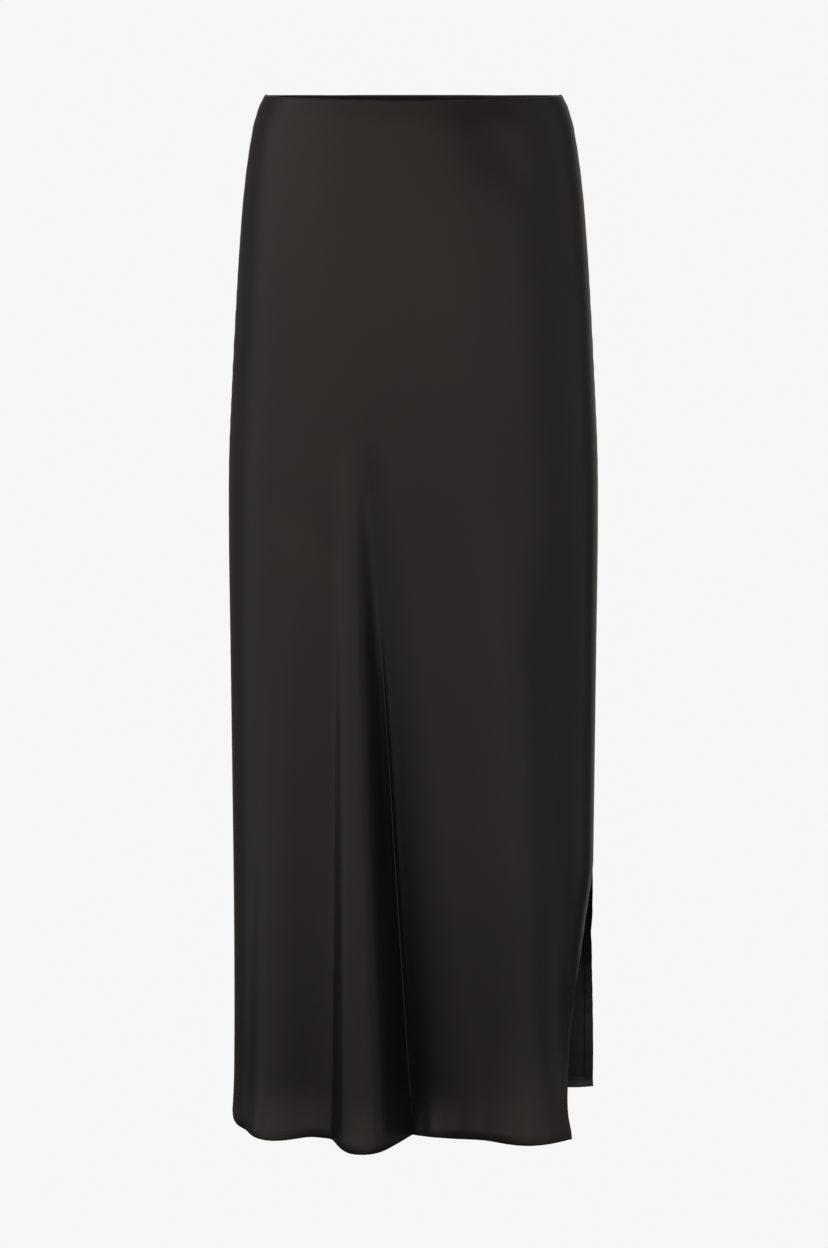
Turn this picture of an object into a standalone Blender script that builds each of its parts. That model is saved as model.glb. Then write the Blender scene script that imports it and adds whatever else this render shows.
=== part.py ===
"""A long satin slip skirt that keeps the shape it has when it is worn: a hollow tube of cloth.

The skirt is cut on the bias from two panels, front and back, joined by a seam down each side. A
loop of elastic is stitched inside the waist. The right-hand seam (+X, the wearer's left) stops at
a slit. The hem and the slit's edges are turned in and stitched.

Metres, +Z up. The wearer faces -Y. The origin is the middle of the waist opening, level with the
back's top edge, and the cloth hangs down from it.

A panel is worked out level by level. At each level its plan curve is a part of a superellipse,
which the folds push in and out. "Across" is along +X, "out" is away from the plane of the side
seams, and "along" is measured on the cloth from the centre line.
"""

import math
from collections import namedtuple
from dataclasses import dataclass

import bmesh
import bpy
import numpy as np

# ---------------------------------------------------------------- driving sizes
LENGTH = 0.9805  # from the waist to the hem
CLOTH = 0.0013  # the wall
SEAM_GAP = 0.0003  # between pieces that are sewn together
TURN_IN = 0.0095  # the hem and the slit's edges are turned in by this much
TURNED = 0.0021  # the wall where the cloth is turned in on itself
STEP = 0.0006  # the slope beside a turned edge
SLIT_TOP = -0.728  # where the right-hand seam stops
WAIST_DIP = 0.0052  # the top edge is this much lower at the centre front
DIP_REACH = 0.060  # how far down the dip is felt
CURL_REACH = 0.040  # how much of the cloth beside the slit turns outwards

ELASTIC_THICK = 0.0014
ELASTIC_TOP = -0.0039
ELASTIC_HEIGHT = 0.0240
ELASTIC_COLUMNS = 36  # in each half of the loop

FOLD_EASE = 0.060  # a fold comes in gently over this much of its length
CURVE_SAMPLES = 1200  # points on a plan curve before the columns are placed

# ---------------------------------------------------------------- the hanging tube
# One row for each level. Half_width is from the centre line to a side seam, and the depths are
# from the seams to the centre front and back. The squares are the superellipse's exponents: 2 is
# an ellipse, and more is squarer.
SECTION_COLUMNS = ("level", "half_width", "front_depth", "back_depth", "front_square", "back_square")
SECTIONS = (
    (0.000, 0.1388, 0.088, 0.085, 2.15, 2.15),
    (-0.006, 0.1419, 0.090, 0.087, 2.15, 2.15),
    (-0.020, 0.1472, 0.095, 0.091, 2.15, 2.15),
    (-0.050, 0.1534, 0.102, 0.100, 2.15, 2.15),
    (-0.090, 0.1588, 0.109, 0.112, 2.15, 2.15),
    (-0.140, 0.1632, 0.114, 0.123, 2.18, 2.15),
    (-0.200, 0.1672, 0.117, 0.129, 2.20, 2.15),
    (-0.270, 0.1712, 0.117, 0.128, 2.25, 2.20),
    (-0.340, 0.1745, 0.115, 0.124, 2.30, 2.20),
    (-0.410, 0.1752, 0.112, 0.119, 2.40, 2.25),
    (-0.520, 0.1744, 0.107, 0.113, 2.60, 2.35),
    (-0.650, 0.1735, 0.102, 0.108, 2.80, 2.50),
    (-0.780, 0.1728, 0.099, 0.105, 2.95, 2.65),
    (-0.880, 0.1731, 0.097, 0.105, 3.05, 2.80),
    (-0.980, 0.1744, 0.096, 0.106, 3.10, 3.00),
)

# One row for each fold. Start is the level where it begins. Top and hem are its place along the
# cloth there and at the hem, and the lefts and rights are how far it spreads at both. Height is how
# far it stands out at the hem, and a hollow has a height less than 0. It deepens with the power
# growth of the way down. Flatness is 2 where a fold starts. Over 2 at the hem makes a broad crest
# with steep sides, and under 2 a narrow one. Drop is how much lower the hem hangs at the crest.
FOLD_COLUMNS = (
    "start", "top", "hem", "top_left", "top_right", "hem_left", "hem_right",
    "height", "growth", "flatness", "drop",
)
Fold = namedtuple("Fold", FOLD_COLUMNS)
FRONT_FOLDS = (
    (-0.31, -0.061, -0.049, 0.013, 0.016, 0.030, 0.050, 0.030, 0.80, 3.1, 0.0050),
    (-0.31, -0.042, -0.001, 0.014, 0.020, 0.048, 0.067, -0.028, 0.80, 1.1, 0.0000),
    (-0.36, 0.078, 0.110, 0.034, 0.032, 0.052, 0.064, 0.020, 1.20, 2.0, 0.0008),
    (-0.45, -0.097, -0.102, 0.019, 0.018, 0.034, 0.032, -0.007, 1.40, 2.0, 0.0000),
    (-0.46, -0.130, -0.136, 0.019, 0.022, 0.034, 0.040, 0.011, 1.40, 2.0, 0.0010),
)
BACK_FOLDS = (
    (-0.36, -0.012, -0.004, 0.018, 0.014, 0.032, 0.026, 0.026, 1.4, 2.8, 0.0040),
    (-0.34, 0.036, 0.044, 0.020, 0.028, 0.036, 0.050, -0.016, 1.4, 2.0, 0.0000),
    (-0.42, 0.094, 0.100, 0.022, 0.025, 0.040, 0.036, 0.012, 1.4, 2.2, 0.0020),
    (-0.40, -0.052, -0.064, 0.022, 0.022, 0.040, 0.040, -0.014, 1.4, 2.0, 0.0000),
    (-0.46, -0.100, -0.122, 0.021, 0.026, 0.038, 0.048, 0.012, 1.4, 2.2, 0.0020),
)

# One row for each level of a panel's free edge at the slit. Inset is from the side seam's line,
# out is away from the plane of the seams, both before the edge curls, and curl is how far the very
# edge turns outwards, in degrees.
SLIT_COLUMNS = ("level", "inset", "out", "curl")
FRONT_SLIT = (
    (-0.728, 0.0000, 0.0000, 0.0),
    (-0.742, 0.0012, 0.0045, 0.0),
    (-0.765, 0.0045, 0.0125, 0.0),
    (-0.787, 0.0078, 0.0200, 0.0),
    (-0.835, 0.0155, 0.0380, 0.0),
    (-0.885, 0.0235, 0.0550, 0.0),
    (-0.933, 0.0315, 0.0730, 0.0),
    (-0.955, 0.0320, 0.0790, 0.0),
    (-0.980, 0.0270, 0.0840, 0.0),
)
BACK_SLIT = (
    (-0.728, 0.0000, 0.0000, 0.0),
    (-0.750, 0.0040, 0.0060, 14.0),
    (-0.780, 0.0130, 0.0220, 52.0),
    (-0.812, 0.0130, 0.0410, 86.0),
    (-0.840, 0.0065, 0.0520, 98.0),
    (-0.880, 0.0013, 0.0620, 90.0),
    (-0.940, 0.0003, 0.0670, 76.0),
    (-0.980, 0.0000, 0.0700, 68.0),
)

# The top edge, where the cloth rolls in over the elastic. One row for each level below the top:
# how far its outer and inner faces are from the panel's own surface.
ROLL = (
    (0.0000, 0.0011, 0.0019),
    (0.0008, 0.0003, 0.0028),
    (0.0022, 0.0000, 0.0031),
    (0.0030, 0.0000, 0.0031),
    (0.0036, 0.0000, CLOTH),
)

# name, colour, roughness
SATIN = ("black_satin", (0.017, 0.015, 0.013), 0.42)
SATIN_BACK = ("black_satin_back", (0.015, 0.013, 0.012), 0.48)
ELASTIC = ("black_elastic", (0.011, 0.010, 0.010), 0.80)


@dataclass(frozen=True)
class Panel:
    """A cut piece of the tube: its facing along Y, its tables and its mesh's fineness."""

    name: str
    facing: int
    depth: str
    square: str
    folds: tuple
    slit: tuple
    dip: float
    columns: tuple  # between its left edge, its main fold's three places and its right edge
    rows: tuple  # from the elastic to the slit's top, and from there to the hem


FRONT = Panel(
    "front_panel", -1, "front_depth", "front_square", FRONT_FOLDS, FRONT_SLIT, WAIST_DIP,
    (17, 6, 8, 20), (14, 9),
)
BACK = Panel(
    "back_panel", 1, "back_depth", "back_square", BACK_FOLDS, BACK_SLIT, 0.0,
    (17, 5, 5, 22), (12, 8),
)


# ---------------------------------------------------------------- reading the tables
def column(table, names, name):
    """One named column of a table."""
    return np.array([row[names.index(name)] for row in table])


def smooth_read(table, names, name, level):
    """A column's value at a level, on a smooth curve through its rows."""
    below = -column(table, names, "level")
    values = column(table, names, name)
    slopes = np.gradient(values, below)
    place = float(np.clip(-level, below[0], below[-1]))
    row = int(np.clip(np.searchsorted(below, place, side="right") - 1, 0, len(below) - 2))
    span = below[row + 1] - below[row]
    t = (place - below[row]) / span
    start = (2 * t**3 - 3 * t**2 + 1) * values[row] + (t**3 - 2 * t**2 + t) * span * slopes[row]
    end = (3 * t**2 - 2 * t**3) * values[row + 1] + (t**3 - t**2) * span * slopes[row + 1]
    return start + end


def section(name, level):
    return smooth_read(SECTIONS, SECTION_COLUMNS, name, level)


# ---------------------------------------------------------------- plan curves
def lengths(across, out):
    """The length of a curve up to each of its points."""
    return np.concatenate([[0], np.cumsum(np.hypot(np.diff(across), np.diff(out)))])


def free_edge(panel, level):
    """Where a panel ends on the slit's side before it curls, across and out, and its edge's curl."""
    half_width = section("half_width", level)
    if level >= SLIT_TOP:
        return half_width, SEAM_GAP / 2, 0.0
    inset, out, curl = (smooth_read(panel.slit, SLIT_COLUMNS, name, level) for name in SLIT_COLUMNS[1:])
    return half_width - inset, max(out, SEAM_GAP / 2), math.radians(curl)


def curl_edge(across, out, curl):
    """A curve whose last stretch turns outwards on an arc, by the curl at its very end."""
    path = lengths(across, out)
    share = np.clip(1 - (path[-1] - path) / CURL_REACH, 0, 1)
    turn = curl * (share[:-1] + share[1:]) / 2
    run_across, run_out = np.diff(across), np.diff(out)
    turned_across = run_across * np.cos(turn) - run_out * np.sin(turn)
    turned_out = run_across * np.sin(turn) + run_out * np.cos(turn)
    across = across[0] + np.concatenate([[0], np.cumsum(turned_across)])
    out = out[0] + np.concatenate([[0], np.cumsum(turned_out)])
    return across, out


def fold_reach(fold, level):
    """How far down a fold a level is, as a share, and its left foot, crest and right foot there."""
    share = max(0.0, (fold.start - level) / (fold.start + LENGTH))
    crest = fold.top + (fold.hem - fold.top) * share
    left = fold.top_left + (fold.hem_left - fold.top_left) * share
    right = fold.top_right + (fold.hem_right - fold.top_right) * share
    return share, crest - left, crest, crest + right


def fold_shape(fold, level, along):
    """How far a fold moves the cloth out, and how much lower it hangs, at each place along it."""
    share, left, crest, right = fold_reach(fold, level)
    reach = np.where(along < crest, crest - left, right - crest)
    t = np.clip(np.abs(along - crest) / reach, 0, 1)
    ease = min(1.0, max(0.0, fold.start - level) / FOLD_EASE)
    size = share**fold.growth * ease * (2 - ease)
    bell = (1 - t ** (2 + (fold.flatness - 2) * share)) ** 2 * size
    return fold.height * bell, fold.drop * bell


def plan_curve(panel, level):
    """A panel's curve at a level, finely sampled: across, out, height and along."""
    half_width = section("half_width", level)
    depth = section(panel.depth, level)
    square = section(panel.square, level)
    edge_across, edge_out, curl = free_edge(panel, level)
    right_width = edge_across / (1 - (edge_out / depth) ** square) ** (1 / square)

    first = -math.atan2(half_width, SEAM_GAP / 2)
    last = math.atan2(edge_across, edge_out)
    angle = np.concatenate([
        np.linspace(first, 0, CURVE_SAMPLES // 2, endpoint=False),
        np.linspace(0, last, CURVE_SAMPLES // 2),
    ])
    width = np.where(angle > 0, right_width, half_width)
    spread = np.abs(np.sin(angle) / width) ** square + np.abs(np.cos(angle) / depth) ** square
    radius = spread ** (-1 / square)
    across, out = radius * np.sin(angle), radius * np.cos(angle)
    along = lengths(across, out)
    along -= np.interp(0, angle, along)

    run_across, run_out = np.gradient(across), np.gradient(out)
    size = np.hypot(run_across, run_out)
    height = np.full_like(across, level)
    pushed = np.zeros_like(across)
    for fold in panel.folds:
        move, drop = fold_shape(Fold(*fold), level, along)
        pushed += move
        height -= drop
    dip = panel.dip * max(0.0, 1 + level / DIP_REACH) ** 2
    height -= dip * np.cos(angle)
    across, out = across - pushed * run_out / size, out + pushed * run_across / size
    across, out = curl_edge(across, out, curl)
    return across, out, height, along


def panel_row(panel, level):
    """A row of the panel's mesh: across, out, height and the direction that faces out."""
    across, out, height, along = plan_curve(panel, level)
    path = lengths(across, out)
    main_fold = fold_reach(Fold(*panel.folds[0]), level)[1:]
    knots = [TURN_IN + STEP, *np.interp(main_fold, along, path), path[-1] - TURN_IN - STEP]
    places = [0.0, TURN_IN]
    for start, end, count in zip(knots, knots[1:], panel.columns):
        places.extend(np.linspace(start, end, count, endpoint=False))
    places.extend([knots[-1], path[-1] - TURN_IN, path[-1]])
    across, out, height = (np.interp(places, path, values) for values in (across, out, height))

    chord = np.stack([-np.diff(out), np.diff(across)], axis=-1)
    chord /= np.linalg.norm(chord, axis=-1, keepdims=True)
    facing = np.concatenate([chord[:1], chord[:-1] + chord[1:], chord[-1:]])
    facing[0] = (-1, 0)
    if level >= SLIT_TOP:
        facing[-1] = (1, 0)
    facing[1:-1] /= np.linalg.norm(facing[1:-1], axis=-1, keepdims=True)
    # A bend's outer corner is set back further, so that the wall keeps its thickness.
    facing[1:-1] /= np.sum(facing[1:-1] * chord[1:], axis=-1, keepdims=True)
    return across, out, height, facing


# ---------------------------------------------------------------- meshes
def panel_levels(panel):
    """The levels of the mesh's rows, each with the wall's outer and inner set-back."""
    elastic_bottom = ELASTIC_TOP - ELASTIC_HEIGHT
    upper, lower = panel.rows
    body = [
        ELASTIC_TOP - ELASTIC_HEIGHT / 2,
        elastic_bottom,
        *np.linspace(elastic_bottom, SLIT_TOP, upper + 1)[1:],
        *np.linspace(SLIT_TOP, TURN_IN + STEP - LENGTH, lower + 1)[1:],
    ]
    rows = [(-below, outer, inner) for below, outer, inner in ROLL]
    rows += [(level, 0.0, CLOTH) for level in body]
    rows += [(TURN_IN - LENGTH, 0.0, TURNED), (-LENGTH, 0.0, TURNED)]
    return rows


def make_panel(panel):
    """A panel as a closed wall, thicker where its edges are turned in."""
    outer, inner = [], []
    allowance_top = ELASTIC_TOP - ELASTIC_HEIGHT - CLOTH
    for level, set_back, depth in panel_levels(panel):
        across, out, height, facing = panel_row(panel, level)
        wall = np.full(len(across), depth)
        if level < allowance_top:
            wall[[0, 1, -2, -1]] = TURNED
        outer.append(points(panel.facing, across, out, height, facing, set_back))
        inner.append(points(panel.facing, across, out, height, facing, wall))
    add_wall(panel.name, np.array(outer), np.array(inner), closed=False, flip=panel.facing > 0)


def points(side, across, out, height, facing, set_back):
    """World points of a row, set back from the surface that faces out."""
    x = across - facing[:, 0] * set_back
    y = side * (out - facing[:, 1] * set_back)
    return np.stack([x, y, height], axis=-1)


def loop_row(level, set_back):
    """A closed row round both panels: the front from left to right, then the back."""
    halves = []
    for panel in (FRONT, BACK):
        across, out, height, _ = plan_curve(panel, level)
        path = lengths(across, out)
        facing = np.stack([-np.gradient(out), np.gradient(across)], axis=-1)
        facing /= np.linalg.norm(facing, axis=-1, keepdims=True)
        half = points(panel.facing, across, out, height, facing, set_back)
        places = (np.arange(ELASTIC_COLUMNS) + 0.5) / ELASTIC_COLUMNS * path[-1]
        half = np.stack([np.interp(places, path, half[:, axis]) for axis in range(3)], axis=-1)
        halves.append(half[::-panel.facing])
    return np.concatenate(halves)


def make_elastic():
    """The loop of elastic, just inside the panels' top edge."""
    levels = np.linspace(ELASTIC_TOP, ELASTIC_TOP - ELASTIC_HEIGHT, 3)
    outer_face = CLOTH + SEAM_GAP
    outer = np.array([loop_row(level, outer_face) for level in levels])
    inner = np.array([loop_row(level, outer_face + ELASTIC_THICK) for level in levels])
    add_wall("waist_elastic", outer, inner, closed=True, flip=False)


def add_wall(name, outer, inner, closed, flip):
    """An object from two grids of points, rows by columns, joined round their edges."""
    mesh = bmesh.new()
    grids = [[[mesh.verts.new(point) for point in row] for row in grid] for grid in (outer, inner)]
    rows, columns = outer.shape[:2]
    spans = columns if closed else columns - 1

    def face(*corners):
        mesh.faces.new(corners[::-1] if flip else corners)

    for grid, inward in zip(grids, (False, True)):
        for i in range(rows - 1):
            for j in range(spans):
                k = (j + 1) % columns
                corners = (grid[i][j], grid[i + 1][j], grid[i + 1][k], grid[i][k])
                face(*(corners[::-1] if inward else corners))
    out, back = grids
    for j in range(spans):
        k = (j + 1) % columns
        face(out[0][j], out[0][k], back[0][k], back[0][j])
        face(back[-1][j], back[-1][k], out[-1][k], out[-1][j])
    if not closed:
        for i in range(rows - 1):
            face(back[i][0], back[i + 1][0], out[i + 1][0], out[i][0])
            face(out[i][-1], out[i + 1][-1], back[i + 1][-1], back[i][-1])

    data = bpy.data.meshes.new(name)
    mesh.to_mesh(data)
    mesh.free()
    data.shade_smooth()
    data.set_sharp_from_angle(angle=math.radians(40))
    bpy.context.scene.collection.objects.link(bpy.data.objects.new(name, data))


def paint(name, finish):
    """Give an object its own material."""
    title, colour, roughness = finish
    material = bpy.data.materials.new(title)
    material.use_nodes = True
    shader = material.node_tree.nodes["Principled BSDF"]
    shader.inputs["Base Color"].default_value = (*colour, 1)
    shader.inputs["Roughness"].default_value = roughness
    shader.inputs["Metallic"].default_value = 0
    bpy.data.objects[name].data.materials.append(material)


def main():
    for thing in list(bpy.data.objects):
        bpy.data.objects.remove(thing, do_unlink=True)
    make_panel(FRONT)
    make_panel(BACK)
    make_elastic()
    paint("front_panel", SATIN)
    paint("back_panel", SATIN_BACK)
    paint("waist_elastic", ELASTIC)


main()
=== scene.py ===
"""The looks of the black satin maxi skirt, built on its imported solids.

The panels are worked out from the same sizes and folds as the solids, then given a finer mesh,
soft creases, turned and stitched edges, ribbed elastic and the satin's own finish. Metres, +Z up.
The wearer faces -Y, and +X is the wearer's left, the side with the slit.
"""
import math
from collections import namedtuple
from dataclasses import dataclass

import bpy
import numpy as np
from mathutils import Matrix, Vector


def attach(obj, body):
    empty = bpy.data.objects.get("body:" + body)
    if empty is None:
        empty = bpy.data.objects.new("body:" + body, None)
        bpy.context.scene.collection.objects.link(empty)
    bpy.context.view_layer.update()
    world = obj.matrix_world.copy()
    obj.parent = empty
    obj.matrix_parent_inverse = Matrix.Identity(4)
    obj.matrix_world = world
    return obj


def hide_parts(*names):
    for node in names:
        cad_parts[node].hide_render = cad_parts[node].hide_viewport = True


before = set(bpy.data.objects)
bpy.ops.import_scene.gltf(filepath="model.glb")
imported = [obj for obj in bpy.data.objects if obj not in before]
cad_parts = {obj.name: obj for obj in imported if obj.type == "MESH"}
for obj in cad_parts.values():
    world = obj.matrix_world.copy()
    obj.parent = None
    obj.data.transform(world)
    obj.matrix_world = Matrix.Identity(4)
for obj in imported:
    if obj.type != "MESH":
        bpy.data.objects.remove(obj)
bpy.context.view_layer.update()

# ---------------------------------------------------------------- the skirt's sizes
LENGTH = 0.9805  # from the waist to the hem
CLOTH = 0.0007  # the satin, more than twice as thick as the real one
TURN_IN = 0.0095  # the hem and the slit's edges are turned in by this much
TURNED = 0.0017  # the cloth where it is turned in on itself
TURN_STEP = 0.0004  # half the slope beside a turned edge
STITCH_INSET = 0.0082  # from a turned edge to its line of stitches
SLIT_TOP = -0.728  # where the seam on the wearer's left stops
SLIT_FADE = 0.006  # below that, the edges turn from sewn to open over this much
WAIST_DIP = 0.0052  # the top edge is this much lower at the centre front
DIP_REACH = 0.060  # how far down the dip is felt
CURL_REACH = 0.040  # how much of the cloth beside the slit turns outwards
FOLD_EASE = 0.060  # a fold comes in gently over this much of its length

ROLL = 0.0031  # the thickness of the top edge, where the cloth rolls in over the elastic
ROLL_HEIGHT = 0.0030
ROLL_STEP = 0.0006  # the slope below the roll
ELASTIC_OUTER = 0.0010  # from the satin's outer face to the elastic
ELASTIC_THICK = 0.0020
ELASTIC_TOP = -0.0039
ELASTIC_HEIGHT = 0.0240
ELASTIC_ROUND = 0.73  # the loop's length
ELASTIC_RIM = 0.0006  # how much thinner the elastic is at its two edges
ELASTIC_RIB = 0.00022  # how far its ribs stand out, and the grooves between them in

CURVE_SAMPLES = 1200  # points on a plan curve before the columns are placed

# The same tables as the solids have, which part.py explains.
SECTION_COLUMNS = ("level", "half_width", "front_depth", "back_depth", "front_square", "back_square")
SECTIONS = (
    (0.000, 0.1388, 0.088, 0.085, 2.15, 2.15),
    (-0.006, 0.1419, 0.090, 0.087, 2.15, 2.15),
    (-0.020, 0.1472, 0.095, 0.091, 2.15, 2.15),
    (-0.050, 0.1534, 0.102, 0.100, 2.15, 2.15),
    (-0.090, 0.1588, 0.109, 0.112, 2.15, 2.15),
    (-0.140, 0.1632, 0.114, 0.123, 2.18, 2.15),
    (-0.200, 0.1672, 0.117, 0.129, 2.20, 2.15),
    (-0.270, 0.1712, 0.117, 0.128, 2.25, 2.20),
    (-0.340, 0.1745, 0.115, 0.124, 2.30, 2.20),
    (-0.410, 0.1752, 0.112, 0.119, 2.40, 2.25),
    (-0.520, 0.1744, 0.107, 0.113, 2.60, 2.35),
    (-0.650, 0.1735, 0.102, 0.108, 2.80, 2.50),
    (-0.780, 0.1728, 0.099, 0.105, 2.95, 2.65),
    (-0.880, 0.1731, 0.097, 0.105, 3.05, 2.80),
    (-0.980, 0.1744, 0.096, 0.106, 3.10, 3.00),
)

FOLD_COLUMNS = (
    "start", "top", "hem", "top_left", "top_right", "hem_left", "hem_right",
    "height", "growth", "flatness", "drop",
)
Fold = namedtuple("Fold", FOLD_COLUMNS)
FRONT_FOLDS = (
    (-0.31, -0.061, -0.049, 0.013, 0.016, 0.030, 0.050, 0.030, 0.80, 3.1, 0.0050),
    (-0.31, -0.042, -0.001, 0.014, 0.020, 0.048, 0.067, -0.028, 0.80, 1.1, 0.0000),
    (-0.36, 0.078, 0.110, 0.034, 0.032, 0.052, 0.064, 0.020, 1.20, 2.0, 0.0008),
    (-0.45, -0.097, -0.102, 0.019, 0.018, 0.034, 0.032, -0.007, 1.40, 2.0, 0.0000),
    (-0.46, -0.130, -0.136, 0.019, 0.022, 0.034, 0.040, 0.011, 1.40, 2.0, 0.0010),
)
BACK_FOLDS = (
    (-0.36, -0.012, -0.004, 0.018, 0.014, 0.032, 0.026, 0.026, 1.4, 2.8, 0.0040),
    (-0.34, 0.036, 0.044, 0.020, 0.028, 0.036, 0.050, -0.016, 1.4, 2.0, 0.0000),
    (-0.42, 0.094, 0.100, 0.022, 0.025, 0.040, 0.036, 0.012, 1.4, 2.2, 0.0020),
    (-0.40, -0.052, -0.064, 0.022, 0.022, 0.040, 0.040, -0.014, 1.4, 2.0, 0.0000),
    (-0.46, -0.100, -0.122, 0.021, 0.026, 0.038, 0.048, 0.012, 1.4, 2.2, 0.0020),
)
MAIN_HOLLOW = 1  # which row of a panel's folds is its main hollow

SLIT_COLUMNS = ("level", "inset", "out", "curl")
FRONT_SLIT = (
    (-0.728, 0.0000, 0.0000, 0.0),
    (-0.742, 0.0012, 0.0045, 0.0),
    (-0.765, 0.0045, 0.0125, 0.0),
    (-0.787, 0.0078, 0.0200, 0.0),
    (-0.835, 0.0155, 0.0380, 0.0),
    (-0.885, 0.0235, 0.0550, 0.0),
    (-0.933, 0.0315, 0.0730, 0.0),
    (-0.955, 0.0320, 0.0790, 0.0),
    (-0.980, 0.0270, 0.0840, 0.0),
)
BACK_SLIT = (
    (-0.728, 0.0000, 0.0000, 0.0),
    (-0.750, 0.0040, 0.0060, 14.0),
    (-0.780, 0.0130, 0.0220, 52.0),
    (-0.812, 0.0130, 0.0410, 86.0),
    (-0.840, 0.0065, 0.0520, 98.0),
    (-0.880, 0.0013, 0.0620, 90.0),
    (-0.940, 0.0003, 0.0670, 76.0),
    (-0.980, 0.0000, 0.0700, 68.0),
)

# ---------------------------------------------------------------- what is finer than the solids
# One row for each soft crease. It runs from one place on the cloth (along from the centre line,
# and level) to another, bowed to one side. Peak is how far down it is greatest, as a share of its
# length. It is a ridge, or a trough with a height less than 0.
Crease = namedtuple(
    "Crease", ("along", "level", "to_along", "to_level", "bow", "peak", "width", "to_width", "height"),
)
FRONT_CREASES = (
    (0.040, 0.030, 0.150, -0.130, 0.010, 0.45, 0.020, 0.022, -0.0030),  # below the waist
    (0.150, -0.050, 0.168, -0.340, 0.004, 0.50, 0.020, 0.026, -0.0018),
    (0.140, -0.380, 0.150, -0.640, 0.006, 0.50, 0.024, 0.026, -0.0030),
    (-0.140, -0.330, -0.060, -0.450, 0.004, 0.50, 0.022, 0.022, -0.0012),
    (-0.0382, -0.373, -0.001, -0.980, 0.000, 0.45, 0.0013, 0.0013, -0.0016),  # the hollow's bottom
)
BACK_CREASES = (
    (-0.060, 0.020, -0.140, -0.120, -0.006, 0.45, 0.020, 0.024, -0.0020),
    (0.070, 0.020, 0.130, -0.100, 0.006, 0.45, 0.018, 0.022, -0.0018),
    (0.020, -0.120, 0.010, -0.340, 0.006, 0.50, 0.045, 0.050, 0.0014),
    (-0.150, -0.260, -0.130, -0.560, -0.006, 0.50, 0.022, 0.026, -0.0026),
    (0.130, -0.300, 0.160, -0.560, 0.006, 0.50, 0.022, 0.026, -0.0024),
)

# How far columns and rows lie from a panel's edges, close together at the very edge, at its
# stitches and where the turned cloth ends.
EDGE_PLACES = (
    0.0, 0.00008, 0.0003, 0.0006, 0.00085, 0.0013, 0.0020, 0.0032, 0.0048, 0.0066,
    STITCH_INSET - 0.0006, STITCH_INSET, STITCH_INSET + 0.0005,
    TURN_IN - TURN_STEP, TURN_IN, TURN_IN + TURN_STEP, 0.0107, 0.0125,
)
# Columns on both sides of the bottom of a panel's main hollow, so that the bottom stays narrow.
HOLLOW_PLACES = (0.00008, 0.0004, 0.0010, 0.0022)
# How far the first rows lie below the rolled top edge.
ROLL_PLACES = (0.0, 0.0001, 0.0004, 0.0009, 0.00155, 0.0022, 0.0030, 0.0034, 0.0040, 0.0052)
PANEL_ROWS = 190  # between the rolled top and the hem
ELASTIC_ROWS = 24
ELASTIC_COLUMNS = 330  # in each half of the loop
ROUNDED_MOST = 0.9999  # under 1, so that a wall's two faces stay just apart at its very edge

# The hem turns out a little, more in some places than in others. One row for each such place.
HEM_FLARE = 0.0018
HEM_FLARE_REACH = 0.052  # above the hem
Flare = namedtuple("Flare", ("along", "reach", "height"))
FRONT_FLARES = (
    (-0.130, 0.034, 0.0048),
    (-0.044, 0.014, 0.0030),
    (0.004, 0.018, 0.0066),
    (0.026, 0.016, 0.0024),
    (0.106, 0.026, 0.0014),
)
BACK_FLARES = (
    (-0.110, 0.030, 0.0032),
    (-0.004, 0.018, 0.0028),
    (0.060, 0.024, 0.0020),
    (0.130, 0.020, 0.0026),
)
# The very edge of the hem curls back in.
HEM_CURL = 0.0016
HEM_CURL_REACH = 0.011
# The front's free edge at the slit lifts a little, and catches the light. The lift comes in between
# two levels.
EDGE_LIFT_REACH = 0.0042
LIFT_START = -0.80
LIFT_FULL = -0.92

# Small waves beside each line of stitches: how high they stand, and how far they reach from it.
HEM_PUCKER = (0.00035, 0.012)
SIDE_PUCKER = (0.0003, 0.010)  # beside the side seams and the slit's edges
HEM_PUCKER_FADE = 0.004  # the hem's waves fade out this close to a seam
SEAM_PUCKER_FADE = 0.003  # and a seam's own waves fade out this close to it
PUCKER_WAVE = 0.0031  # a wave's length, over two pi
PUCKER_DRIFT = 0.023  # the same for the way its length varies
PUCKER_SWELL = 0.047  # and for the way its height varies

SEAM_GROOVE = 0.0008  # how deep a side seam is pressed in
SEAM_GROOVE_REACH = 0.0016
SEAM_GROOVE_FADE = 0.01  # it comes in over this much below the top edge


@dataclass(frozen=True)
class Panel:
    """A cut piece of the tube: its facing along Y, its tables and its mesh's fineness."""

    name: str
    node: str
    facing: int
    depth: str  # its column of the sections
    square: str  # its column of the sections
    folds: tuple
    slit: tuple
    dip: float
    creases: tuple
    flares: tuple
    columns: tuple  # before and after the main hollow
    edge_lift: float
    flat: tuple  # the width and length of what shows, with its turned edges
    area: float


FRONT = Panel(
    name="satin_front", node="front_panel", facing=-1, depth="front_depth", square="front_square",
    folds=FRONT_FOLDS, slit=FRONT_SLIT, dip=WAIST_DIP, creases=FRONT_CREASES, flares=FRONT_FLARES,
    columns=(69, 89), edge_lift=0.0012, flat=(0.510, 0.995), area=0.470,
)
BACK = Panel(
    name="satin_back", node="back_panel", facing=1, depth="back_depth", square="back_square",
    folds=BACK_FOLDS, slit=BACK_SLIT, dip=0.0, creases=BACK_CREASES, flares=BACK_FLARES,
    columns=(88, 70), edge_lift=0.0, flat=(0.490, 0.990), area=0.465,
)


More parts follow.
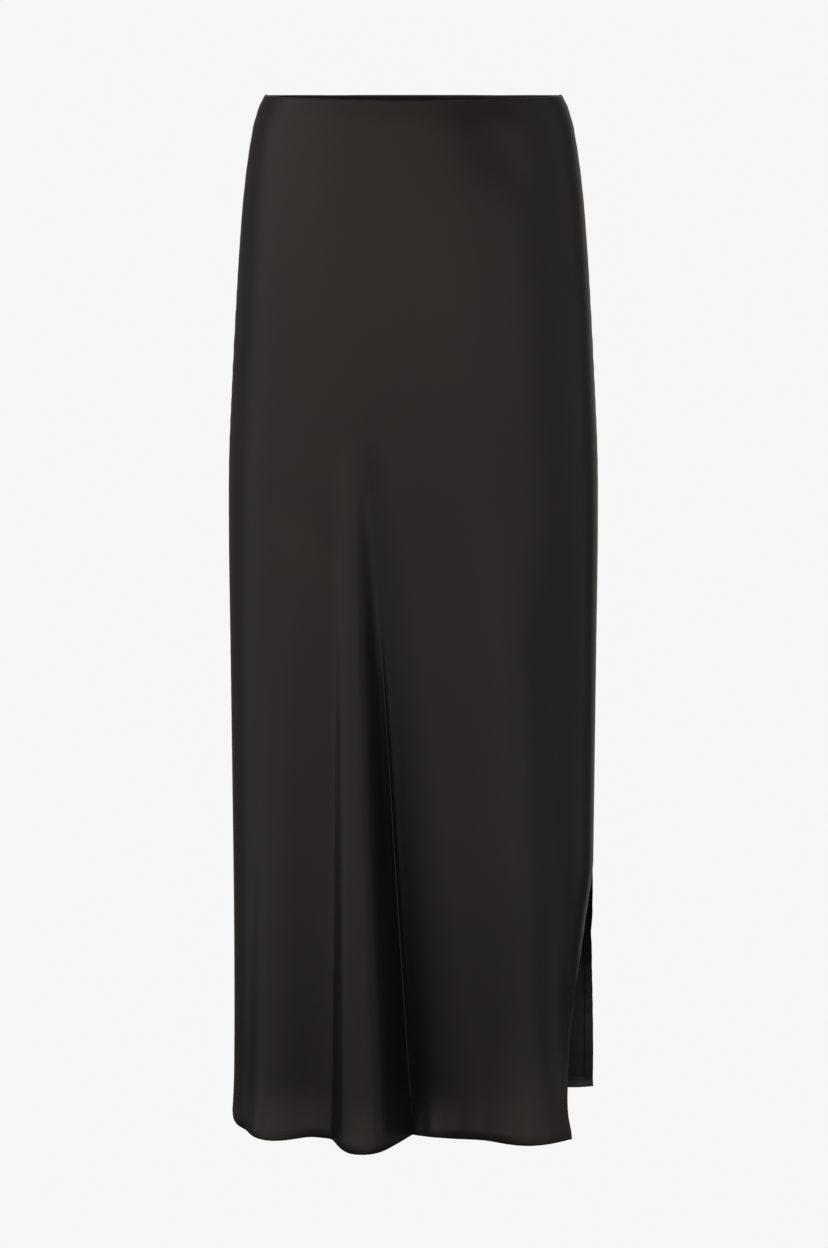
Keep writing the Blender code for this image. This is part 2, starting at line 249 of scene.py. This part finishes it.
# ---------------------------------------------------------------- the solids' surface
def smooth_read(table, names, name, level):
    """A column's value at a level, on a smooth curve through its rows."""
    below = np.array([-row[0] for row in table])
    values = np.array([row[names.index(name)] for row in table])
    slopes = np.gradient(values, below)
    place = float(np.clip(-level, below[0], below[-1]))
    row = int(np.clip(np.searchsorted(below, place, side="right") - 1, 0, len(below) - 2))
    span = below[row + 1] - below[row]
    t = (place - below[row]) / span
    start = (2 * t**3 - 3 * t**2 + 1) * values[row] + (t**3 - 2 * t**2 + t) * span * slopes[row]
    end = (3 * t**2 - 2 * t**3) * values[row + 1] + (t**3 - t**2) * span * slopes[row + 1]
    return start + end


def section(name, level):
    return smooth_read(SECTIONS, SECTION_COLUMNS, name, level)


def lengths(across, out):
    """The length of a curve up to each of its points."""
    return np.concatenate([[0], np.cumsum(np.hypot(np.diff(across), np.diff(out)))])


def free_edge(panel, level):
    """Where a panel ends on the slit's side before it curls, across and out, and its edge's curl."""
    half_width = section("half_width", level)
    if level >= SLIT_TOP:
        return half_width, 0.0, 0.0
    inset, out, curl = (smooth_read(panel.slit, SLIT_COLUMNS, name, level) for name in SLIT_COLUMNS[1:])
    return half_width - inset, max(out, 0.0), math.radians(curl)


def curl_edge(across, out, curl):
    """A curve whose last stretch turns outwards on an arc, by the curl at its very end."""
    path = lengths(across, out)
    share = np.clip(1 - (path[-1] - path) / CURL_REACH, 0, 1)
    turn = curl * (share[:-1] + share[1:]) / 2
    run_across, run_out = np.diff(across), np.diff(out)
    turned_across = run_across * np.cos(turn) - run_out * np.sin(turn)
    turned_out = run_across * np.sin(turn) + run_out * np.cos(turn)
    across = across[0] + np.concatenate([[0], np.cumsum(turned_across)])
    out = out[0] + np.concatenate([[0], np.cumsum(turned_out)])
    return across, out


def fold_reach(fold, level):
    """How far down a fold a level is, as a share, and its left foot, crest and right foot there."""
    share = max(0.0, (fold.start - level) / (fold.start + LENGTH))
    crest = fold.top + (fold.hem - fold.top) * share
    left = fold.top_left + (fold.hem_left - fold.top_left) * share
    right = fold.top_right + (fold.hem_right - fold.top_right) * share
    return share, crest - left, crest, crest + right


def fold_shape(fold, level, along):
    """How far a fold moves the cloth out, and how much lower it hangs, at each place along it."""
    share, left, crest, right = fold_reach(fold, level)
    reach = np.where(along < crest, crest - left, right - crest)
    t = np.clip(np.abs(along - crest) / reach, 0, 1)
    ease = min(1.0, max(0.0, fold.start - level) / FOLD_EASE)
    size = share**fold.growth * ease * (2 - ease)
    bell = (1 - t ** (2 + (fold.flatness - 2) * share)) ** 2 * size
    return fold.height * bell, fold.drop * bell


def plan_curve(panel, level):
    """A panel's curve at a level, finely sampled: across, out, height and along."""
    half_width = section("half_width", level)
    depth = section(panel.depth, level)
    square = section(panel.square, level)
    edge_across, edge_out, curl = free_edge(panel, level)
    right_width = edge_across / (1 - (edge_out / depth) ** square) ** (1 / square)

    last = math.atan2(edge_across, edge_out)
    angle = np.concatenate([
        np.linspace(-math.pi / 2, 0, CURVE_SAMPLES // 2, endpoint=False),
        np.linspace(0, last, CURVE_SAMPLES // 2),
    ])
    width = np.where(angle > 0, right_width, half_width)
    spread = np.abs(np.sin(angle) / width) ** square + np.abs(np.cos(angle) / depth) ** square
    radius = spread ** (-1 / square)
    across, out = radius * np.sin(angle), radius * np.cos(angle)
    along = lengths(across, out)
    along -= np.interp(0, angle, along)

    run_across, run_out = np.gradient(across), np.gradient(out)
    size = np.hypot(run_across, run_out)
    height = np.full_like(across, level)
    pushed = np.zeros_like(across)
    for fold in panel.folds:
        move, drop = fold_shape(Fold(*fold), level, along)
        pushed += move
        height -= drop
    dip = panel.dip * max(0.0, 1 + level / DIP_REACH) ** 2
    height -= dip * np.cos(angle)
    across, out = across - pushed * run_out / size, out + pushed * run_across / size
    across, out = curl_edge(across, out, curl)
    return across, out, height, along


# ---------------------------------------------------------------- grids of cloth
@dataclass
class Cloth:
    """A panel's outer and inner faces, rows by columns, and each point's place on the cloth."""

    outer: np.ndarray
    inner: np.ndarray
    facing: np.ndarray
    along: np.ndarray
    level: np.ndarray
    turned: np.ndarray  # where the cloth is turned in on itself


def smooth_step(low, high, value):
    """From 0 at low to 1 at high, gently at both. Low may be the larger."""
    t = np.clip((value - low) / (high - low), 0, 1)
    return t * t * (3 - 2 * t)


def near_edge(distance, reach):
    """From 1 at an edge to 0 at its reach."""
    return np.clip(1 - distance / reach, 0, 1) ** 2


def cloth_facing(grid, panel, level):
    """The directions in which a panel faces, square to the seams where it is sewn to the other."""
    across, down = np.gradient(grid, axis=1), np.gradient(grid, axis=0)
    normal = np.cross(across, down) * panel.facing
    facing = normal / np.linalg.norm(normal, axis=-1, keepdims=True)
    facing[:, 0] = (-1, 0, 0)
    facing[level[:, -1] >= SLIT_TOP, -1] = (1, 0, 0)
    return facing


def row_levels():
    """The levels of a panel's rows, closer together at the rolled top and at the hem."""
    top = [-place for place in ROLL_PLACES]
    hem = [place - LENGTH for place in reversed(EDGE_PLACES)]
    return np.array([*top, *np.linspace(top[-1], hem[0], PANEL_ROWS)[1:-1], *hem])


def column_places(length, hollow, columns):
    """Places along a row, closer together at both of its edges and in its main hollow."""
    left = list(EDGE_PLACES)
    right = [length - place for place in reversed(EDGE_PLACES)]
    middle = [hollow - place for place in reversed(HOLLOW_PLACES)]
    middle += [hollow + place for place in HOLLOW_PLACES]
    before, after = columns
    return np.array([
        *left, *np.linspace(left[-1], middle[0], before)[1:-1],
        *middle, *np.linspace(middle[-1], right[0], after)[1:-1], *right,
    ])


def crease_depth(creases, along, level):
    """How far the creases move the cloth out."""
    depth = np.zeros_like(along)
    for crease in (Crease(*row) for row in creases):
        run = np.array([crease.to_along - crease.along, crease.to_level - crease.level])
        length = np.hypot(*run)
        run /= length
        from_along, from_level = along - crease.along, level - crease.level
        t = (from_along * run[0] + from_level * run[1]) / length
        side = from_along * run[1] - from_level * run[0] - crease.bow * (1 - (2 * t - 1) ** 2)
        fade = smooth_step(0, crease.peak, t) * smooth_step(0, 1 - crease.peak, 1 - t)
        width = crease.width + (crease.to_width - crease.width) * np.clip(t, 0, 1)
        depth += crease.height * fade * np.exp(-((side / width) ** 2))
    return depth


def pucker(place, distance, size, reach):
    """Small waves beside a line of stitches, uneven along it and gone a little way from it."""
    wave = np.sin(place / PUCKER_WAVE + 1.7 * np.sin(place / PUCKER_DRIFT))
    swell = 0.6 + 0.4 * np.sin(place / PUCKER_SWELL + 0.8)
    return size * wave * swell * np.exp(-((distance / reach) ** 2))


def surface_move(panel, along, level, to_left, to_right, open_edge):
    """How far a panel's creases, puckers, seams, hem and free edge move its cloth out."""
    to_hem = level + LENGTH
    move = crease_depth(panel.creases, along, level)
    # Where the slit is open its edge is no seam, and the open share, in metres, puts it far away.
    fade = smooth_step(0, HEM_PUCKER_FADE, np.minimum(to_left, to_right + open_edge))
    move += pucker(along, to_hem - STITCH_INSET, *HEM_PUCKER) * fade
    flare = HEM_FLARE
    for place in (Flare(*row) for row in panel.flares):
        flare = flare + place.height * np.exp(-(((along - place.along) / place.reach) ** 2))
    move += flare * near_edge(to_hem, HEM_FLARE_REACH)
    move -= HEM_CURL * near_edge(to_hem, HEM_CURL_REACH)
    groove_fade = smooth_step(0, -SEAM_GROOVE_FADE, level)
    for distance, sewn in ((to_left, 1.0), (to_right, 1 - open_edge)):
        fade = smooth_step(0, SEAM_PUCKER_FADE, distance)
        move += sewn * pucker(level, distance, *SIDE_PUCKER) * fade
        move -= sewn * SEAM_GROOVE * np.exp(-((distance / SEAM_GROOVE_REACH) ** 2)) * groove_fade
    move += open_edge * pucker(level, to_right - STITCH_INSET, *SIDE_PUCKER)
    lift = panel.edge_lift * smooth_step(LIFT_START, LIFT_FULL, level)
    return move + lift * near_edge(to_right, EDGE_LIFT_REACH)


def turned_share(distance):
    """From 1 beside an edge, where the cloth is turned in on itself, to 0 beyond its turning."""
    return smooth_step(TURN_IN + TURN_STEP, TURN_IN - TURN_STEP, distance)


def rounding(distance, radius):
    """How far a face is set back near a round edge, as a share of half the wall."""
    t = np.clip(1 - distance / radius, 0, ROUNDED_MOST)
    return 1 - np.sqrt(1 - t * t)


def set_backs(level, to_right, open_edge):
    """How far the outer and inner faces are set back, and where the cloth is turned in on itself."""
    to_hem, below_top = level + LENGTH, -level
    turned = np.maximum(turned_share(to_hem), turned_share(to_right) * open_edge)
    wall = CLOTH + (TURNED - CLOTH) * turned
    wall = wall + (ROLL - wall) * smooth_step(ROLL_HEIGHT + ROLL_STEP, ROLL_HEIGHT, below_top)
    to_edge = np.minimum(to_hem, np.where(open_edge > 0.5, to_right, np.inf))
    outer = (rounding(to_edge, TURNED / 2) + rounding(below_top, ROLL / 2)) * wall / 2
    return outer, wall - outer, turned > 0.5


def make_cloth(panel):
    """A panel's two faces, with its folds, creases, seams and turned edges."""
    levels = row_levels()
    rows, along_rows, right_rows = [], [], []
    for level in levels:
        across, out, height, along = plan_curve(panel, level)
        path = lengths(across, out)
        hollow = fold_reach(Fold(*panel.folds[MAIN_HOLLOW]), level)[2]
        places = column_places(path[-1], np.interp(hollow, along, path), panel.columns)
        across, out, height, along = (np.interp(places, path, v) for v in (across, out, height, along))
        rows.append(np.stack([across, panel.facing * out, height], axis=-1))
        along_rows.append(along)
        right_rows.append(path[-1] - places)
    grid, along, to_right = np.array(rows), np.array(along_rows), np.array(right_rows)
    level = np.repeat(levels[:, None], grid.shape[1], axis=1)
    to_left = to_right[:, :1] - to_right
    open_edge = smooth_step(SLIT_TOP, SLIT_TOP - SLIT_FADE, level)

    move = surface_move(panel, along, level, to_left, to_right, open_edge)
    grid = grid + cloth_facing(grid, panel, level) * move[..., None]
    facing = cloth_facing(grid, panel, level)
    outer_back, inner_back, turned = set_backs(level, to_right, open_edge)
    return Cloth(
        outer=grid - facing * outer_back[..., None], inner=grid - facing * inner_back[..., None],
        facing=facing, along=along, level=level, turned=turned,
    )


def loop_row(level, set_back):
    """A closed row round both panels: the front from left to right, then the back."""
    halves = []
    for panel in (FRONT, BACK):
        across, out, height, along = plan_curve(panel, level)
        path = lengths(across, out)
        facing = np.stack([-np.gradient(out), np.gradient(across)], axis=-1)
        facing /= np.linalg.norm(facing, axis=-1, keepdims=True)
        back = set_back - crease_depth(panel.creases, along, np.full_like(along, level))
        x = across - facing[:, 0] * back
        y = panel.facing * (out - facing[:, 1] * back)
        places = (np.arange(ELASTIC_COLUMNS) + 0.5) / ELASTIC_COLUMNS * path[-1]
        half = np.stack([np.interp(places, path, values) for values in (x, y, height)], axis=-1)
        halves.append(half[::-panel.facing])
    return np.concatenate(halves)


# ---------------------------------------------------------------- meshes
def new_object(name, points, faces, materials, face_material=None, uv=None):
    """A smooth object from points and faces, with a place on the cloth for each point."""
    mesh = bpy.data.meshes.new(name)
    mesh.from_pydata(points.tolist(), [], faces)
    for material in materials:
        mesh.materials.append(material)
    if face_material is not None:
        mesh.polygons.foreach_set("material_index", face_material)
    if uv is not None:
        layer = mesh.uv_layers.new(name="cloth")
        corners = np.empty(len(mesh.loops), dtype=np.int32)
        mesh.loops.foreach_get("vertex_index", corners)
        layer.data.foreach_set("uv", uv[corners].astype(np.float32).ravel())
    mesh.shade_smooth()
    piece = bpy.data.objects.new(name, mesh)
    bpy.context.scene.collection.objects.link(piece)
    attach(piece, "root")
    return piece


def ring_faces(rings, sides):
    """Faces between one ring of points and the next, without the two ends."""
    faces = []
    for start in range(0, (rings - 1) * sides, sides):
        for j in range(sides):
            k = (j + 1) % sides
            faces.append((start + j, start + k, start + sides + k, start + sides + j))
    return faces


def wall_faces(rows, columns, closed, flip):
    """A wall's faces, and a 1 for each that isn't outer. Its outer grid of points comes first."""
    size = rows * columns
    spans = columns if closed else columns - 1
    i, j = np.meshgrid(np.arange(rows - 1), np.arange(spans), indexing="ij")
    k = (j + 1) % columns
    above, below = i * columns, (i + 1) * columns
    outer = np.stack([above + j, below + j, below + k, above + k], -1).reshape(-1, 4)
    inner = outer[:, ::-1] + size
    j = np.arange(spans)
    k = (j + 1) % columns
    last = (rows - 1) * columns
    rims = [
        np.stack([j, k, k + size, j + size], -1),
        np.stack([last + j + size, last + k + size, last + k, last + j], -1),
    ]
    if not closed:
        above = np.arange(rows - 1) * columns
        below = above + columns
        end = columns - 1
        rims.append(np.stack([above + size, below + size, below, above], -1))
        rims.append(np.stack([above + end, below + end, below + end + size, above + end + size], -1))
    faces = np.concatenate([outer, inner, *rims])
    inside = np.concatenate([np.zeros(len(outer)), np.ones(len(faces) - len(outer))]).astype(np.int32)
    if flip:
        faces = faces[:, ::-1]
    return faces.tolist(), inside


def make_panel(panel, cloth, face, back):
    """A panel's piece, which stands for its solid."""
    rows, columns = cloth.along.shape
    faces, inside = wall_faces(rows, columns, closed=False, flip=panel.facing > 0)
    # On the inner face, which comes second, the turned cloth shows the satin's own face.
    band = cloth.turned[:-1, :-1] & cloth.turned[1:, 1:]
    inside[band.size:2 * band.size][band.ravel()] = 0
    points = np.concatenate([cloth.outer.reshape(-1, 3), cloth.inner.reshape(-1, 3)])
    place = np.stack([cloth.along, cloth.level], axis=-1).reshape(-1, 2)
    piece = new_object(panel.name, points, faces, (face, back), inside, np.concatenate([place, place]))
    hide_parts(panel.node)
    return piece


def make_elastic(material):
    """The loop of ribbed elastic inside the top edge."""
    levels = np.linspace(ELASTIC_TOP, ELASTIC_TOP - ELASTIC_HEIGHT, ELASTIC_ROWS)
    depths = np.full(ELASTIC_ROWS, ELASTIC_OUTER + ELASTIC_THICK)
    depths[[0, -1]] -= ELASTIC_RIM
    outer = np.array([loop_row(level, ELASTIC_OUTER) for level in levels])
    inner = np.array([loop_row(level, depth) for level, depth in zip(levels, depths)])
    rows, columns = outer.shape[:2]
    rib = ELASTIC_RIB * np.where(np.arange(columns) % 2, 1.0, -1.0)[None, :, None]
    toward = outer - inner
    toward /= np.linalg.norm(toward, axis=-1, keepdims=True)
    inner = inner + toward * rib
    faces, _ = wall_faces(rows, columns, closed=True, flip=False)
    place = np.stack(np.meshgrid(np.linspace(0, ELASTIC_ROUND, columns), levels), -1).reshape(-1, 2)
    points = np.concatenate([outer.reshape(-1, 3), inner.reshape(-1, 3)])
    piece = new_object("elastic_band", points, faces, (material,), uv=np.concatenate([place, place]))
    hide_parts("waist_elastic")
    return piece


# ---------------------------------------------------------------- thread
STITCH_PITCH = 0.0028
STITCH_LENGTH = 0.0022
STITCH_THREAD = 0.00014  # the thread's radius
STITCH_SIDES = 5
STITCH_ARCH = (-0.9, 0.35, 0.75, 0.35, -0.9)  # how many radii each ring of a stitch lies off the cloth

ZIGZAG_PITCH = 0.0024
ZIGZAG_THREAD = 0.00026  # the thread's radius
ZIGZAG_SIDES = 4
ZIGZAG_LIFT = 0.0002  # off the elastic's inner face
ZIGZAG_ROWS = ((-0.0024, -0.0052), (-0.0238, -0.0270))  # the levels between which each line runs


def tube(path, up, radius, sides):
    """Points and faces of a thread along a path, with closed ends."""
    run = np.gradient(path, axis=0)
    run /= np.linalg.norm(run, axis=-1, keepdims=True)
    side = np.cross(run, up)
    side /= np.linalg.norm(side, axis=-1, keepdims=True)
    top = np.cross(side, run)
    turn = np.arange(sides) / sides * 2 * math.pi
    ring = side[:, None] * np.cos(turn)[None, :, None] + top[:, None] * np.sin(turn)[None, :, None]
    points = (path[:, None] + ring * radius).reshape(-1, 3)
    faces = ring_faces(len(path), sides)
    faces.append(tuple(range(sides - 1, -1, -1)))
    faces.append(tuple((len(path) - 1) * sides + j for j in range(sides)))
    return points, faces


def thread_piece(name, tubes, material):
    """One object from many tubes."""
    points, faces, start = [], [], 0
    for some_points, some_faces in tubes:
        points.append(some_points)
        faces.extend(tuple(index + start for index in face) for face in some_faces)
        start += len(some_points)
    piece = new_object(name, np.concatenate(points), faces, (material,))
    return piece


def path_lengths(line):
    """The length of a line in space up to each of its points."""
    return np.concatenate([[0], np.cumsum(np.linalg.norm(np.diff(line, axis=0), axis=-1))])


def read_along(places, path, line):
    """A line's points at places along its path."""
    return np.stack([np.interp(places, path, line[:, axis]) for axis in range(3)], axis=-1)


def stitches(line, up):
    """Straight stitches along a line on the cloth."""
    path = path_lengths(line)
    made = []
    for start in np.arange(STITCH_PITCH / 2, path[-1] - STITCH_PITCH, STITCH_PITCH):
        places = np.linspace(start, start + STITCH_LENGTH, len(STITCH_ARCH))
        rise = read_along(places, path, up)
        rise /= np.linalg.norm(rise, axis=-1, keepdims=True)
        points = read_along(places, path, line) + rise * np.array(STITCH_ARCH)[:, None] * STITCH_THREAD
        made.append(tube(points, rise, STITCH_THREAD, STITCH_SIDES))
    return made


def edge_stitches(name, cloth, material):
    """The lines of stitches beside a panel's hem and slit edge, on both faces."""
    made = []
    hem_row = len(cloth.level) - 1 - EDGE_PLACES.index(STITCH_INSET)
    slit_column = cloth.level.shape[1] - 1 - EDGE_PLACES.index(STITCH_INSET)
    first = int(np.searchsorted(-cloth.level[:, 0], -SLIT_TOP))
    for face, sign in ((cloth.outer, 1), (cloth.inner, -1)):
        made += stitches(face[hem_row], sign * cloth.facing[hem_row])
        part = slice(first, hem_row)
        made += stitches(face[part, slit_column], sign * cloth.facing[part, slit_column])
    return thread_piece(name, made, material)


def elastic_zigzag(material):
    """Zigzag stitches that hold the elastic, near its top and its lower edge."""
    made = []
    depth = ELASTIC_OUTER + ELASTIC_THICK + ZIGZAG_LIFT
    for levels in ZIGZAG_ROWS:
        rows = [loop_row(level, depth) for level in levels]
        closed = [np.concatenate([row, row[:1]]) for row in rows]
        paths = [path_lengths(row) for row in closed]
        count = int(paths[0][-1] / ZIGZAG_PITCH)
        shares = np.arange(2 * count + 1) / (2 * count)
        upper, lower = (read_along(shares * path[-1], path, row) for path, row in zip(paths, closed))
        line = np.where((np.arange(len(shares)) % 2 == 0)[:, None], upper, lower)
        up = -line * (1, 1, 0)
        up = up / np.linalg.norm(up, axis=-1, keepdims=True)
        made.append(tube(line, up, ZIGZAG_THREAD, ZIGZAG_SIDES))
    return thread_piece("elastic_zigzag", made, material)


# ---------------------------------------------------------------- materials
MOTTLE_SPAN = (0.35, 0.65)  # the noise's values at which a mottle's two ends are reached
FLOAT_WIDTH = 0.00032  # of a float of the satin weave


def add_node(tree, kind, **settings):
    """A new node. A setting names a property of it, or else an input, with _ for each space."""
    node = tree.nodes.new(kind)
    for name, value in settings.items():
        if hasattr(node, name):
            setattr(node, name, value)
        else:
            node.inputs[name.replace("_", " ")].default_value = value
    return node


def principled(name, colour, roughness):
    """A new material, its node tree and its shader."""
    material = bpy.data.materials.new(name)
    material.use_nodes = True
    tree = material.node_tree
    shader = tree.nodes["Principled BSDF"]
    shader.inputs["Base Color"].default_value = (*colour, 1)
    shader.inputs["Roughness"].default_value = roughness
    material.diffuse_color = (*colour, 1)
    return material, tree, shader


def mottle(tree, shader, socket, low, high, scale):
    """A value or colour that drifts between two ends over the cloth."""
    place = add_node(tree, "ShaderNodeTexCoord")
    noise = add_node(tree, "ShaderNodeTexNoise", Scale=scale, Detail=3.0, Roughness=0.5)
    tree.links.new(place.outputs["Object"], noise.inputs["Vector"])
    ramp = add_node(tree, "ShaderNodeValToRGB")
    for end, position, colour in zip(ramp.color_ramp.elements, MOTTLE_SPAN, (low, high)):
        end.position = position
        end.color = colour
    tree.links.new(noise.outputs["Fac"], ramp.inputs["Fac"])
    tree.links.new(ramp.outputs["Color"], shader.inputs[socket])


def grey(value):
    return (value, value, value, 1)


def shades(colour, spread):
    """A darker and a lighter shade of a colour."""
    return tuple((*(share * c for c in colour), 1) for share in (1 - spread, 1 + spread))


def satin(name, colour, roughness, float_length):
    """Satin weave: long floats that lie across the bias, and a soft, slightly uneven gloss."""
    material, tree, shader = principled(name, colour, roughness)
    shader.inputs["IOR"].default_value = 1.5
    shader.inputs["Specular Tint"].default_value = (1.0, 0.93, 0.86, 1)
    mottle(tree, shader, "Base Color", *shades(colour, 0.12), scale=9.0)
    mottle(tree, shader, "Roughness", grey(roughness - 0.02), grey(roughness + 0.02), scale=5.0)

    place = add_node(tree, "ShaderNodeUVMap", uv_map="cloth")
    bias = add_node(tree, "ShaderNodeMapping")
    bias.inputs["Rotation"].default_value = (0, 0, math.radians(45))
    bias.inputs["Scale"].default_value = (1 / FLOAT_WIDTH, 1 / float_length, 1)
    tree.links.new(place.outputs["UV"], bias.inputs["Vector"])
    weave = add_node(tree, "ShaderNodeTexNoise", Scale=1.0, Detail=1.0, Roughness=0.5)
    tree.links.new(bias.outputs["Vector"], weave.inputs["Vector"])
    bump = add_node(tree, "ShaderNodeBump", Strength=0.12, Distance=0.0001)
    tree.links.new(weave.outputs["Fac"], bump.inputs["Height"])
    tree.links.new(bump.outputs["Normal"], shader.inputs["Normal"])
    return material


def elastic_material():
    """Matt ribbed elastic."""
    material, tree, shader = principled("black_elastic", (0.011, 0.010, 0.010), roughness=0.8)
    dark, light = (0.008, 0.007, 0.007, 1), (0.016, 0.015, 0.014, 1)
    mottle(tree, shader, "Base Color", dark, light, scale=600.0)
    return material


def thread_material(name, colour):
    """Twisted polyester thread."""
    material, tree, shader = principled(name, colour, roughness=0.5)
    mottle(tree, shader, "Base Color", *shades(colour, 0.3), scale=900.0)
    return material


# ---------------------------------------------------------------- camera, stage and light
CAMERA_PLACE = (0.0006, -3.4, 0.0)
CAMERA_PITCH = math.radians(8.367)  # looking down
CAMERA_LENS = 103.85  # millimetres
CAMERA_SENSOR = 36.0  # millimetres, along the photo's long side
PALE = 0.922  # the photo's plain background
FLOOR_LEVEL = -1.10
FLOOR_RADIUS = 6.0
DOME_RADIUS = 20.0
DOME_RINGS = 25
DOME_POLE = 0.01  # the angle at each pole that one flat face closes
STAGE_SIDES = 64

BRIGHT_SIDE = (-0.6, -0.8, 0.0)  # the direction in which the studio is brightest
BRIGHT, DIM = 0.27, 0.09  # its strength there and on the opposite side
FLOOR_LIGHT = 0.15  # the light from below, as a share
FLOOR_HEIGHT = -0.45  # directions whose Z is below this get only that share

# One row for each soft box: its azimuth from the front, its distance, its width, its lower and upper
# edges and its radiance.
SoftBox = namedtuple("SoftBox", ("name", "azimuth", "distance", "width", "bottom", "top", "radiance"))
SOFT_BOXES = (
    ("front_box", -17, 2.4, 3.2, -1.55, 3.00, 0.45),
    ("front_right_box", 33, 2.4, 1.6, -1.60, 0.80, 0.42),
    ("left_box", -77, 2.0, 2.2, 0.00, 2.40, 0.56),
    ("left_low_box", -77, 2.0, 2.2, -1.45, 0.00, 0.39),
    ("right_box", 80, 2.0, 2.7, -1.60, 2.20, 0.23),
    ("back_box", 172, 2.4, 2.6, -1.55, 2.40, 0.30),
)


def make_camera():
    data = bpy.data.cameras.new("camera")
    data.lens = CAMERA_LENS
    data.sensor_width = CAMERA_SENSOR
    camera = bpy.data.objects.new("camera", data)
    camera.location = CAMERA_PLACE
    camera.rotation_euler = (math.radians(90) - CAMERA_PITCH, 0, 0)
    bpy.context.scene.collection.objects.link(camera)
    bpy.context.scene.camera = camera


def pale_material():
    material = bpy.data.materials.new("pale_paper")
    material.use_nodes = True
    tree = material.node_tree
    tree.nodes.clear()
    glow = add_node(tree, "ShaderNodeEmission", Color=(PALE, PALE, PALE, 1), Strength=1.0)
    end = add_node(tree, "ShaderNodeOutputMaterial")
    tree.links.new(glow.outputs["Emission"], end.inputs["Surface"])
    return material


def make_stage():
    """An even pale floor and surround, which only the camera sees."""
    paper = pale_material()
    turn = np.linspace(0, 2 * math.pi, STAGE_SIDES, endpoint=False)
    ring = np.stack([np.cos(turn), np.sin(turn), np.zeros_like(turn)], axis=-1)
    disc = tuple(range(STAGE_SIDES))
    floor = stage_object("floor", ring * FLOOR_RADIUS + (0, 0, FLOOR_LEVEL), [disc], paper)
    tilts = np.linspace(DOME_POLE, math.pi - DOME_POLE, DOME_RINGS)
    rings = [(ring * math.sin(tilt) + (0, 0, math.cos(tilt))) * DOME_RADIUS for tilt in tilts]
    faces = ring_faces(DOME_RINGS, STAGE_SIDES)
    faces += [disc, tuple((DOME_RINGS - 1) * STAGE_SIDES + j for j in disc)]
    dome = stage_object("surround", np.concatenate(rings), faces, paper)


def stage_object(name, points, faces, material):
    """An object that is seen directly, and sheds no light or shadow on the skirt."""
    mesh = bpy.data.meshes.new(name)
    mesh.from_pydata(points.tolist(), [], faces)
    mesh.materials.append(material)
    thing = bpy.data.objects.new(name, mesh)
    thing.visible_diffuse = False
    thing.visible_glossy = False
    thing.visible_transmission = False
    thing.visible_shadow = False
    bpy.context.scene.collection.objects.link(thing)
    return thing


def soft_light(name, place, aim, size, power):
    """A rectangular soft box that faces a point."""
    data = bpy.data.lights.new(name, "AREA")
    data.shape = "RECTANGLE"
    data.size, data.size_y = size
    data.energy = power
    light = bpy.data.objects.new(name, data)
    light.location = place
    towards = np.array(aim, float) - np.array(place, float)
    light.rotation_mode = "QUATERNION"
    light.rotation_quaternion = Vector(towards).to_track_quat("-Z", "Y")
    light.visible_camera = False
    bpy.context.scene.collection.objects.link(light)


def make_world():
    """A dim studio, brighter to the front left than to the back right, and darker below."""
    world = bpy.data.worlds.new("studio")
    bpy.context.scene.world = world
    world.use_nodes = True
    tree = world.node_tree
    tree.nodes.clear()
    place = add_node(tree, "ShaderNodeTexCoord")
    toward = add_node(tree, "ShaderNodeVectorMath", operation="DOT_PRODUCT")
    toward.inputs[1].default_value = BRIGHT_SIDE
    tree.links.new(place.outputs["Generated"], toward.inputs[0])
    strength = add_node(
        tree, "ShaderNodeMapRange", From_Min=-1.0, From_Max=1.0, To_Min=DIM, To_Max=BRIGHT,
    )
    tree.links.new(toward.outputs["Value"], strength.inputs["Value"])
    height = add_node(tree, "ShaderNodeSeparateXYZ")
    tree.links.new(place.outputs["Generated"], height.inputs["Vector"])
    share = add_node(
        tree, "ShaderNodeMapRange", interpolation_type="SMOOTHSTEP",
        From_Min=FLOOR_HEIGHT, From_Max=0.0, To_Min=FLOOR_LIGHT, To_Max=1.0,
    )
    tree.links.new(height.outputs["Z"], share.inputs["Value"])
    total = add_node(tree, "ShaderNodeMath", operation="MULTIPLY")
    tree.links.new(strength.outputs["Result"], total.inputs[0])
    tree.links.new(share.outputs["Result"], total.inputs[1])
    glow = add_node(tree, "ShaderNodeBackground", Color=(1.0, 0.95, 0.90, 1))
    tree.links.new(total.outputs["Value"], glow.inputs["Strength"])
    end = add_node(tree, "ShaderNodeOutputWorld")
    tree.links.new(glow.outputs["Background"], end.inputs["Surface"])


def make_lights():
    """The studio and its soft boxes, each upright and turned to the skirt's axis."""
    make_world()
    for box in (SoftBox(*row) for row in SOFT_BOXES):
        turn = math.radians(box.azimuth)
        height = (box.bottom + box.top) / 2
        place = (math.sin(turn) * box.distance, -math.cos(turn) * box.distance, height)
        size = (box.width, box.top - box.bottom)
        power = box.radiance * math.pi * size[0] * size[1]
        soft_light(box.name, place, (0, 0, height), size, power)


# ---------------------------------------------------------------- the skirt
def main():
    bpy.context.scene.view_settings.view_transform = "Standard"
    make_camera()
    make_stage()
    make_lights()

    face = satin("satin_face", (0.0075, 0.0062, 0.0053), roughness=0.37, float_length=0.0024)
    back = satin("satin_reverse", (0.0085, 0.0072, 0.0064), roughness=0.55, float_length=0.0012)
    thread = thread_material("black_thread", (0.013, 0.012, 0.011))
    zigzag = thread_material("zigzag_thread", (0.30, 0.28, 0.26))

    clothes = {panel.name: make_cloth(panel) for panel in (FRONT, BACK)}
    elastic = make_elastic(elastic_material())
    elastic_zigzag(zigzag)
    for panel in (FRONT, BACK):
        piece = make_panel(panel, clothes[panel.name], face, back)
        sewn = edge_stitches(f"{panel.name}_stitches", clothes[panel.name], thread)


main()
